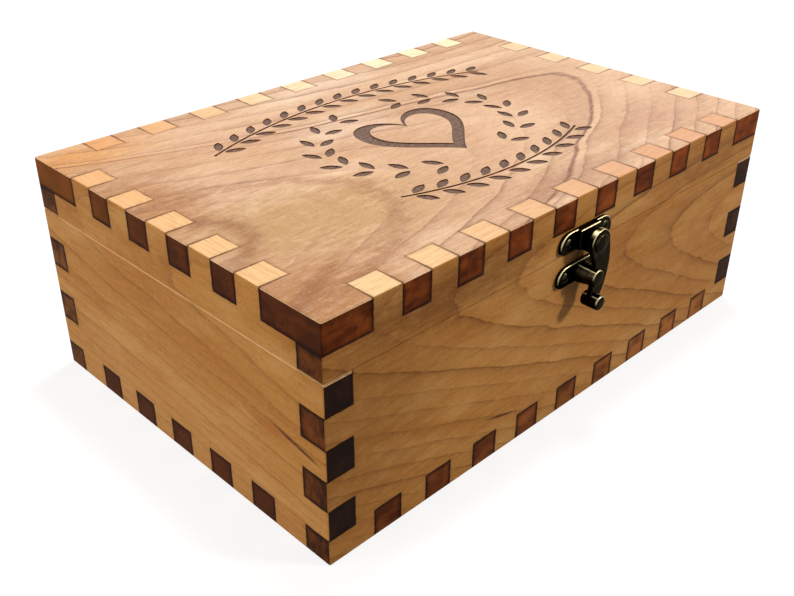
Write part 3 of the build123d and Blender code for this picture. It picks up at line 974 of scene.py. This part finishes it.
def round_corners(bm: Solid, radius: float, upper: bool, steps: int) -> None:
    """Rounds two of the four edges of a bar that run along Z.

    Args:
        bm: the bar.
        radius: the rounding.
        upper: whether it is the pair with the higher Y.
        steps: facets in each corner.
    """
    middle = sum(v.co.y for v in bm.verts) / len(bm.verts)
    edges = [e for e in bm.edges
             if abs((e.verts[0].co - e.verts[1].co).normalized().z) > 0.9
             and ((e.verts[0].co.y > middle) == upper)
             and e.calc_face_angle(0.0) > math.radians(60)]
    rounded(bm, edges, radius, steps)


def ease_edges(bm: Solid, radius: float, steps: int = 3) -> None:
    """Rounds every outer edge of a solid that turns by more than 40 degrees."""
    sharp = math.radians(40)
    rounded(bm, [e for e in bm.edges if e.is_manifold and e.is_convex
                 and e.calc_face_angle(0.0) > sharp], radius, steps)


def mesh_of(bm: Solid, name: str) -> bpy.types.Mesh:
    """Turns a solid into a mesh.

    Args:
        bm: the solid, which is used up.
        name: the mesh's name.

    Returns:
        The mesh.
    """
    mesh = bpy.data.meshes.new(name)
    bm.to_mesh(mesh)
    bm.free()
    return mesh


def stood(name: str, data: bpy.types.ID) -> bpy.types.Object:
    """Puts a mesh, lamp or camera into the scene as an object.

    Args:
        name: the object's name.
        data: the mesh, lamp or camera.

    Returns:
        The object.
    """
    made = bpy.data.objects.new(name, data)
    bpy.context.scene.collection.objects.link(made)
    return made


class Cut(Enum):
    """What a solid does to the one that it meets."""

    ADDED = "UNION"
    TAKEN = "DIFFERENCE"


def combined(parts: list[Solid], cut: Cut = Cut.ADDED) -> Solid:
    """Joins overlapping solids into one, or takes the later ones out of the first.

    Args:
        parts: the solids, which are used up.
        cut: what the later ones do to the first.

    Returns:
        The solid that is left.
    """
    objects = [stood("part", mesh_of(part, "part")) for part in parts]
    for other in objects[1:]:
        union = objects[0].modifiers.new("union", "BOOLEAN")
        union.operation, union.solver, union.object = cut.value, "EXACT", other
    graph = bpy.context.evaluated_depsgraph_get()
    bm = bmesh.new()
    bm.from_mesh(objects[0].evaluated_get(graph).data)
    for made in objects:
        mesh = made.data
        bpy.data.objects.remove(made)
        bpy.data.meshes.remove(mesh)
    bmesh.ops.remove_doubles(bm, verts=bm.verts, dist=0.002)
    flat = [e for e in bm.edges if e.is_manifold and e.calc_face_angle(9.0) < math.radians(0.5)]
    bmesh.ops.dissolve_edges(bm, edges=flat, use_verts=True)
    return bm


@dataclass(frozen=True)
class RubAndHighlight:
    """Where a piece is made bright: its upper edges, partly rubbed and partly painted highlight, and
    painted highlight lines along a barrel.

    The edges are brightened from the height low, fully from high, where they bulge and face up, and the
    highlight streaks are the angles about the piece's Z axis of the painted highlight lines.
    """

    strength: float = 1.0
    low: float = -90.0
    high: float = -80.0
    streaks: tuple = ()
    streak_width: float = 9.0
    least_bulge: float = 0.02
    full_tilt: float = 0.4

    def mark(self, bm: Solid) -> None:
        """Writes each face's share of rub and painted highlight.

        Args:
            bm: the solid, with its front along Z.
        """
        bm.normal_update()
        rubbed_and_highlit = bm.faces.layers.float.new(WEAR_AND_HIGHLIGHT)
        for face in bm.faces:
            tilt = face.normal.z * abs(face.normal.z)
            bulge = sum(e.calc_face_angle_signed(0.0) for e in face.edges)
            rise = (face.calc_center_median().y - self.low) / (self.high - self.low)
            share = min(max(rise, 0.0), 1.0) * min(max(face.normal.y / self.full_tilt, 0.0), 1.0)
            # Upward-facing edges: partly rubbed bright, partly painted highlight
            rim = max(0.0, 4 * tilt * (1 - tilt)) * share if bulge > self.least_bulge else 0.0
            # Painted highlight lines at the streak angles round the barrel
            round_at = math.degrees(math.atan2(face.normal.y, face.normal.x))
            line = max((math.exp(-((round_at - at) / self.streak_width) ** 2)
                        for at in self.streaks), default=0.0)
            face[rubbed_and_highlit] = max(rim * self.strength, line * (abs(face.normal.z) < 0.5) * (rise > 0))


@dataclass(frozen=True)
class Piece:
    """What a finished piece is: its name, body, slot, the node it stands for and its rub and painted
    highlights.
    """

    name: str
    body: str
    slot: str
    node: str
    rub: RubAndHighlight

    def finish(self, bm: Solid, place: Matrix, material: Material) -> None:
        """Turns a solid in millimetres into the finished object.

        Args:
            bm: the solid, which is used up.
            place: from the solid's own frame to the row frame, in millimetres.
            material: its finish.
        """
        self.rub.mark(bm)
        bm.transform(Matrix.Scale(MM, 4) @ place)
        for face in bm.faces:
            face.smooth = True
        mesh = mesh_of(bm, self.name)
        mesh.set_sharp_from_angle(angle=math.radians(50))
        mesh.materials.append(material)
        made = stood(self.name, mesh)
        even = made.modifiers.new("even_shading", "WEIGHTED_NORMAL")
        even.keep_sharp = True
        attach(made, self.body)
        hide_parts(self.node)
        log.info("%s built with %d faces for %s", self.name, len(mesh.polygons), self.node)


# The latch
@dataclass(frozen=True)
class Latch:
    """The swing-hook latch on the front: two cast plates, a forged hook and turned pins.

    A piece is made lying on the XY plane, Z away from the wood, and is then stood up
    against the front of the box.
    """

    pivot_height: float = 61.8
    catch_height: float = 50.6
    catch_offset: float = -0.6
    plate_half: float = 12.4
    plate_low: float = -2.35
    plate_high: float = 4.35
    plate_thickness: float = 1.3
    shoulder: float = 4.4
    toe: float = 2.0
    pad_half: float = 4.8
    pad_face: float = 2.6
    edge: float = 0.42
    hook_edge: float = 0.5
    post_radius: float = 3.9
    post_face: float = 4.6
    hook_back: float = 4.7
    hook_front: float = 6.5
    eye_radius: float = 4.4
    root_angle: float = 210.0
    bulge: tuple = (5.4, -6.7)
    neck: float = -2.2
    throat_lean: float = 6.0
    lip_lean: float = 4.0
    slot_radius: float = 2.9
    tail: float = 2.0
    knob_offset: float = -0.3
    knob_drop: float = 19.25
    knob_radius: float = 2.4
    knob_back: float = 2.9
    knob_front: float = 8.9
    knob_edge: float = 0.55
    knob_crown: float = 0.12
    catch_radius: float = 2.7
    catch_foot: float = 3.5
    catch_back: float = 0.6
    catch_front: float = 7.4
    catch_edge: float = 0.5
    catch_crown: float = 0.05
    rivet_radius: float = 3.1
    rivet_shank: float = 1.5
    rivet_back: float = 0.5
    screw_reach: float = 8.9
    screw_head: float = 1.6
    screw_shank: float = 0.7
    screw_back: float = 0.2
    screw_dome: float = 0.62
    slot_half: float = 0.22
    slot_floor: float = 0.26
    screw_rise: float = 1.0
    slot_turn: float = 25.0
    overlap: float = 0.1

    def against_front(self, x: float, height: float) -> Matrix:
        """From a piece's own frame to the front of the box, about a point on it."""
        stand = Matrix.Rotation(math.radians(90), 4, "X")
        return Matrix.Translation((x, -BOX.half_width, height)) @ stand

    def plate(self, cast_on: list[Solid]) -> Solid:
        """One plate with what is cast on it.

        Args:
            cast_on: the pad and post that are one with it.

        Returns:
            The solid.
        """
        plate = slab((-self.plate_half, self.plate_low, 0),
                     (self.plate_half, self.plate_high, self.plate_thickness))
        round_corners(plate, self.shoulder, True, 8)
        round_corners(plate, self.toe, False, 5)
        for solid in cast_on[:1]:
            plate = combined([plate, solid])
        ease_edges(plate, self.edge)
        return combined([plate, *cast_on[1:]]) if cast_on[1:] else plate

    def hook(self) -> Solid:
        """The hook: an eye, a crescent arm with a slot for the catch, and a tail.

        Returns:
            The solid.
        """
        drop = self.catch_height - self.pivot_height
        reach = math.hypot(self.catch_offset, drop)
        toward = math.degrees(math.atan2(drop, self.catch_offset))
        near, far = reach - self.slot_radius, reach + self.slot_radius

        def around(radius: float, angle: float) -> tuple[float, float]:
            """A point at a radius and an angle from the pivot."""
            return radius * math.cos(math.radians(angle)), radius * math.sin(math.radians(angle))

        lip = around(far, toward - self.lip_lean)
        throat = around(near, toward - self.throat_lean)
        root = around(self.eye_radius, self.root_angle)
        tail_right = (self.knob_offset + self.tail, -self.knob_drop)
        outline = Outline((self.eye_radius, 0.0)).arc_through(self.bulge, tail_right)
        outline.arc(self.knob_offset, -self.knob_drop, -180)
        outline.lines(lip).arc(0, 0, self.lip_lean)
        outline.arc(self.catch_offset, drop, 180).arc(0, 0, -self.throat_lean)
        outline.arc_through((self.neck, (throat[1] + root[1]) / 2), root)
        outline.arc(0, 0, -self.root_angle)
        solid = outline.plate(self.hook_back, self.hook_front)
        ease_edges(solid, self.hook_edge, 4)
        return solid

    def rivet(self) -> Solid:
        """The pivot's domed head on its shank.

        Returns:
            The solid.
        """
        low, radius = self.hook_front - self.overlap, self.rivet_radius
        outline = Outline((0.0, self.rivet_back), (self.rivet_shank, self.rivet_back),
                          (self.rivet_shank, low), (radius, low), (radius, low + 0.2))
        outline.arc_through((radius - 0.22, low + 0.52), (radius - 0.75, low + 0.68), 0.12)
        outline.arc_through((radius / 2 - 0.4, low + 0.84), (0.0, low + 0.88), 0.3)
        return outline.turned()

    def knob(self) -> Solid:
        """The finger knob: a turned barrel with softened rims.

        Returns:
            The solid.
        """
        soft, radius, back, front = self.knob_edge, self.knob_radius, self.knob_back, self.knob_front
        outline = Outline((0.0, back), (radius - soft, back))
        outline.arc(radius - soft, back + soft, 90, 0.2).lines((radius, front - soft))
        outline.arc(radius - soft, front - soft, 90, 0.2)
        return outline.lines((0.0, front + self.knob_crown)).turned()

    def catch(self) -> Solid:
        """The stout catch, tapering from its foot on the plate to its eased end.

        Returns:
            The solid.
        """
        soft, back, radius = self.catch_edge, self.catch_back, self.catch_radius
        foot, front = self.catch_foot, self.catch_front
        outline = Outline((0.0, back), (foot, back), (foot, self.plate_thickness + self.overlap),
                          (radius, front - soft))
        outline.arc(radius - soft, front - soft, 90, 0.15)
        return outline.lines((0.0, front + self.catch_crown)).turned()

    def screws(self) -> Solid:
        """The two domed screws of a plate, their slots turned as they were driven.

        Returns:
            The solid.
        """
        bm = bmesh.new()
        head, shank, back = self.screw_head, self.screw_shank, self.screw_back
        low = self.plate_thickness - self.overlap
        for side in (-1, 1):
            outline = Outline((0.0, back), (shank, back), (shank, low), (head, low),
                              (head, low + 0.15))
            outline.arc_through((head * 0.62, low + 0.48), (0.0, low + self.screw_dome), 0.2)
            slot = slab((-head, -self.slot_half, low + self.slot_floor),
                        (head, self.slot_half, low + 2.0))
            screw = combined([outline.turned(32), slot], Cut.TAKEN)
            turn = Matrix.Rotation(math.radians(self.slot_turn), 4, "Z")
            screw.transform(Matrix.Translation((side * self.screw_reach, 0, 0)) @ turn)
            mesh = mesh_of(screw, "screw")
            bm.from_mesh(mesh)
            bpy.data.meshes.remove(mesh)
        return bm

    def build(self, bronze: Material) -> None:
        """Builds every piece of the latch.

        Args:
            bronze: the finish of every piece.
        """
        high, low, half = self.pivot_height, self.catch_height, self.plate_thickness / 2
        pad = slab((-self.pad_half, self.plate_low, half),
                   (self.pad_half, self.plate_high, self.pad_face))
        post = Outline((0.0, half), (self.post_radius, half), (self.post_radius, self.post_face),
                       (0.0, self.post_face)).turned()
        # Bright marks: upper edges partly rubbed and partly painted highlight; the lines along barrels
        # and hook at fixed angles are painted highlights
        barrel = RubAndHighlight(0.55, streaks=(124.0, 72.0), streak_width=4.5)
        arm, full, faint, soft = RubAndHighlight(0.7, -1.0, 0.5, (122.0, 72.0), 14.0), RubAndHighlight(), RubAndHighlight(0.04), RubAndHighlight(0.08)
        pieces = (
            ("lid_plate", "lid", "upper_plate", full, self.plate([pad, post]), 0.0, high),
            ("box_plate", "box", "lower_plate", full, self.plate([]), 0.0, low),
            ("swing_hook", "hook", "hook", arm, self.hook(), 0.0, high),
            ("domed_rivet", "lid", "pivot_rivet", faint, self.rivet(), 0.0, high),
            ("turned_knob", "hook", "knob", barrel, self.knob(), self.knob_offset,
             high - self.knob_drop),
            ("turned_catch", "box", "catch_pin", barrel, self.catch(), self.catch_offset, low),
            ("lid_screws", "lid", "upper_screws", soft, self.screws(), 0.0, high + self.screw_rise),
            ("box_screws", "box", "lower_screws", soft, self.screws(), 0.0, low + self.screw_rise),
        )
        for name, body, node, rub, solid, x, height in pieces:
            slot = "screw_brass" if name.endswith("screws") else "latch_brass"
            Piece(f"latch_{name}", body, slot, f"latch_{node}", rub).finish(
                solid, self.against_front(x, height), bronze)


# The hinges
@dataclass(frozen=True)
class Hinges:
    """The two hinges on the back."""

    sides: tuple = ("left", "right")
    parts: tuple = ("lid_leaf", "body_leaf", "pin")
    screws: tuple = ("hinge_lid_screws", "hinge_body_screws")

    def build(self, bronze: Material) -> None:
        """Dresses the hinges."""
        for node in (*(f"hinge_{s}_{p}" for s in self.sides for p in self.parts), *self.screws):
            paint(node, bronze)


# The studio
@dataclass(frozen=True)
class Lamp:
    """One soft rectangular lamp."""

    name: str
    place: tuple
    size: tuple
    power: float
    color: tuple = WHITE

    def light(self, aim: Vector) -> None:
        """Hangs the lamp, turned towards a point.

        Args:
            aim: the point.
        """
        data = bpy.data.lights.new(self.name, "AREA")
        data.shape = "RECTANGLE"
        data.size, data.size_y = self.size
        data.energy = self.power
        data.color = self.color
        lamp = stood(self.name, data)
        lamp.location = self.place
        lamp.rotation_euler = (aim - Vector(self.place)).to_track_quat("-Z", "Y").to_euler()


@dataclass(frozen=True)
class Studio:
    """A pale floor, soft lamps, a white surround and the camera of the photograph."""

    eye: tuple = (-0.222205, -0.212679, 0.194052)
    right: tuple = (0.71098, -0.703184, 0.006358)
    up: tuple = (0.354499, 0.366208, 0.860362)
    behind: tuple = (-0.607321, -0.609446, 0.509644)
    lens: float = 44.809
    sensor: float = 36.0
    clip: tuple = (0.01, 20.0)
    aim: tuple = (0.0, 0.0, 0.03)
    ambient: float = 0.18
    floor_tone: tuple = tone(140, 140, 140)
    floor_glow: float = 0.80
    floor_half: float = 1.6
    lamps: tuple = (
        Lamp("key_lamp", (0.76, -1.08, 0.67), (0.2, 0.2), 12.8, (1.0, 0.96, 0.89)),
        Lamp("left_lamp", (-0.95, 0.15, 0.42), (0.8, 0.8), 7.0, (1.0, 0.97, 0.92)),
        Lamp("top_lamp", (0.15, 0.10, 0.95), (0.16, 0.16), 5.0),
        Lamp("side_lamp", (0.94, 0.45, 0.28), (0.3, 0.3), 1.2),
        Lamp("back_lamp", (-0.3, 1.2, 0.35), (0.6, 0.6), 2.6),
    )

    def build(self) -> None:
        """Sets up the floor, lamps, surround and camera."""
        self.pour_floor()
        for lamp in self.lamps:
            lamp.light(Vector(self.aim))
        self.surround()
        self.aim_camera()
        bpy.context.scene.view_settings.view_transform = "Standard"

    def pour_floor(self) -> None:
        """Lays the floor, white to the camera yet holding the box's soft shadow."""
        bm = bmesh.new()
        bmesh.ops.create_grid(bm, x_segments=1, y_segments=1, size=self.floor_half)
        floor = stood("studio_floor", mesh_of(bm, "studio_floor"))
        material = bpy.data.materials.new("pale_floor")
        material.use_nodes = True
        tree = material.node_tree
        looks = {"Base Color": self.floor_tone, "Roughness": 0.9, "Specular IOR Level": 0.1,
                 "Emission Color": (*WHITE, 1.0),
                 "Emission Strength": self.seen_by_camera(tree) * self.floor_glow}
        for label, value in looks.items():
            feed(tree, tree.nodes["Principled BSDF"].inputs[label], value)
        floor.data.materials.append(material)

    def seen_by_camera(self, tree: Tree) -> Wire:
        """1 for a ray from the camera, a mirror or glass, and 0 for one that only lights.

        Args:
            tree: the shader tree.

        Returns:
            The wire with the 1 or 0.
        """
        seen = worked(tree, "LightPath", {}, "Is Camera Ray")
        rays = seen.socket.node.outputs
        for kind in ("Is Glossy Ray", "Is Transmission Ray"):
            seen = seen.most(Wire(tree, rays[kind]))
        return seen

    def surround(self) -> None:
        """Makes the world white to look at and dimmer as a light."""
        world = bpy.data.worlds.new("white_surround")
        world.use_nodes = True
        tree = world.node_tree
        shader = tree.nodes["Background"]
        shader.inputs["Color"].default_value = (*WHITE, 1.0)
        seen = self.seen_by_camera(tree)
        feed(tree, shader.inputs["Strength"], seen * (1.0 - self.ambient) + self.ambient)
        bpy.context.scene.world = world

    def aim_camera(self) -> None:
        """Makes the camera that stands where the photograph's stood."""
        data = bpy.data.cameras.new("photo_camera")
        data.lens = self.lens
        data.sensor_width = self.sensor
        data.clip_start, data.clip_end = self.clip
        camera = stood("photo_camera", data)
        axes = Matrix((self.right, self.up, self.behind)).transposed().to_4x4()
        camera.matrix_world = Matrix.Translation(self.eye) @ axes
        bpy.context.scene.camera = camera


def main() -> None:
    """Builds and dresses every piece in order."""
    logging.basicConfig(level=logging.INFO, format="%(name)s: %(message)s")
    Studio().build()
    shop = Workshop()
    Boards().build(shop)
    Latch().build(BronzeFinish("latch_bronze").dress(shop))
    hinge_bronze = BronzeFinish("hinge_bronze", dark=tone(34, 28, 20), brown=tone(64, 51, 34))
    Hinges().build(hinge_bronze.dress(shop))


if __name__ == "__main__":
    main()
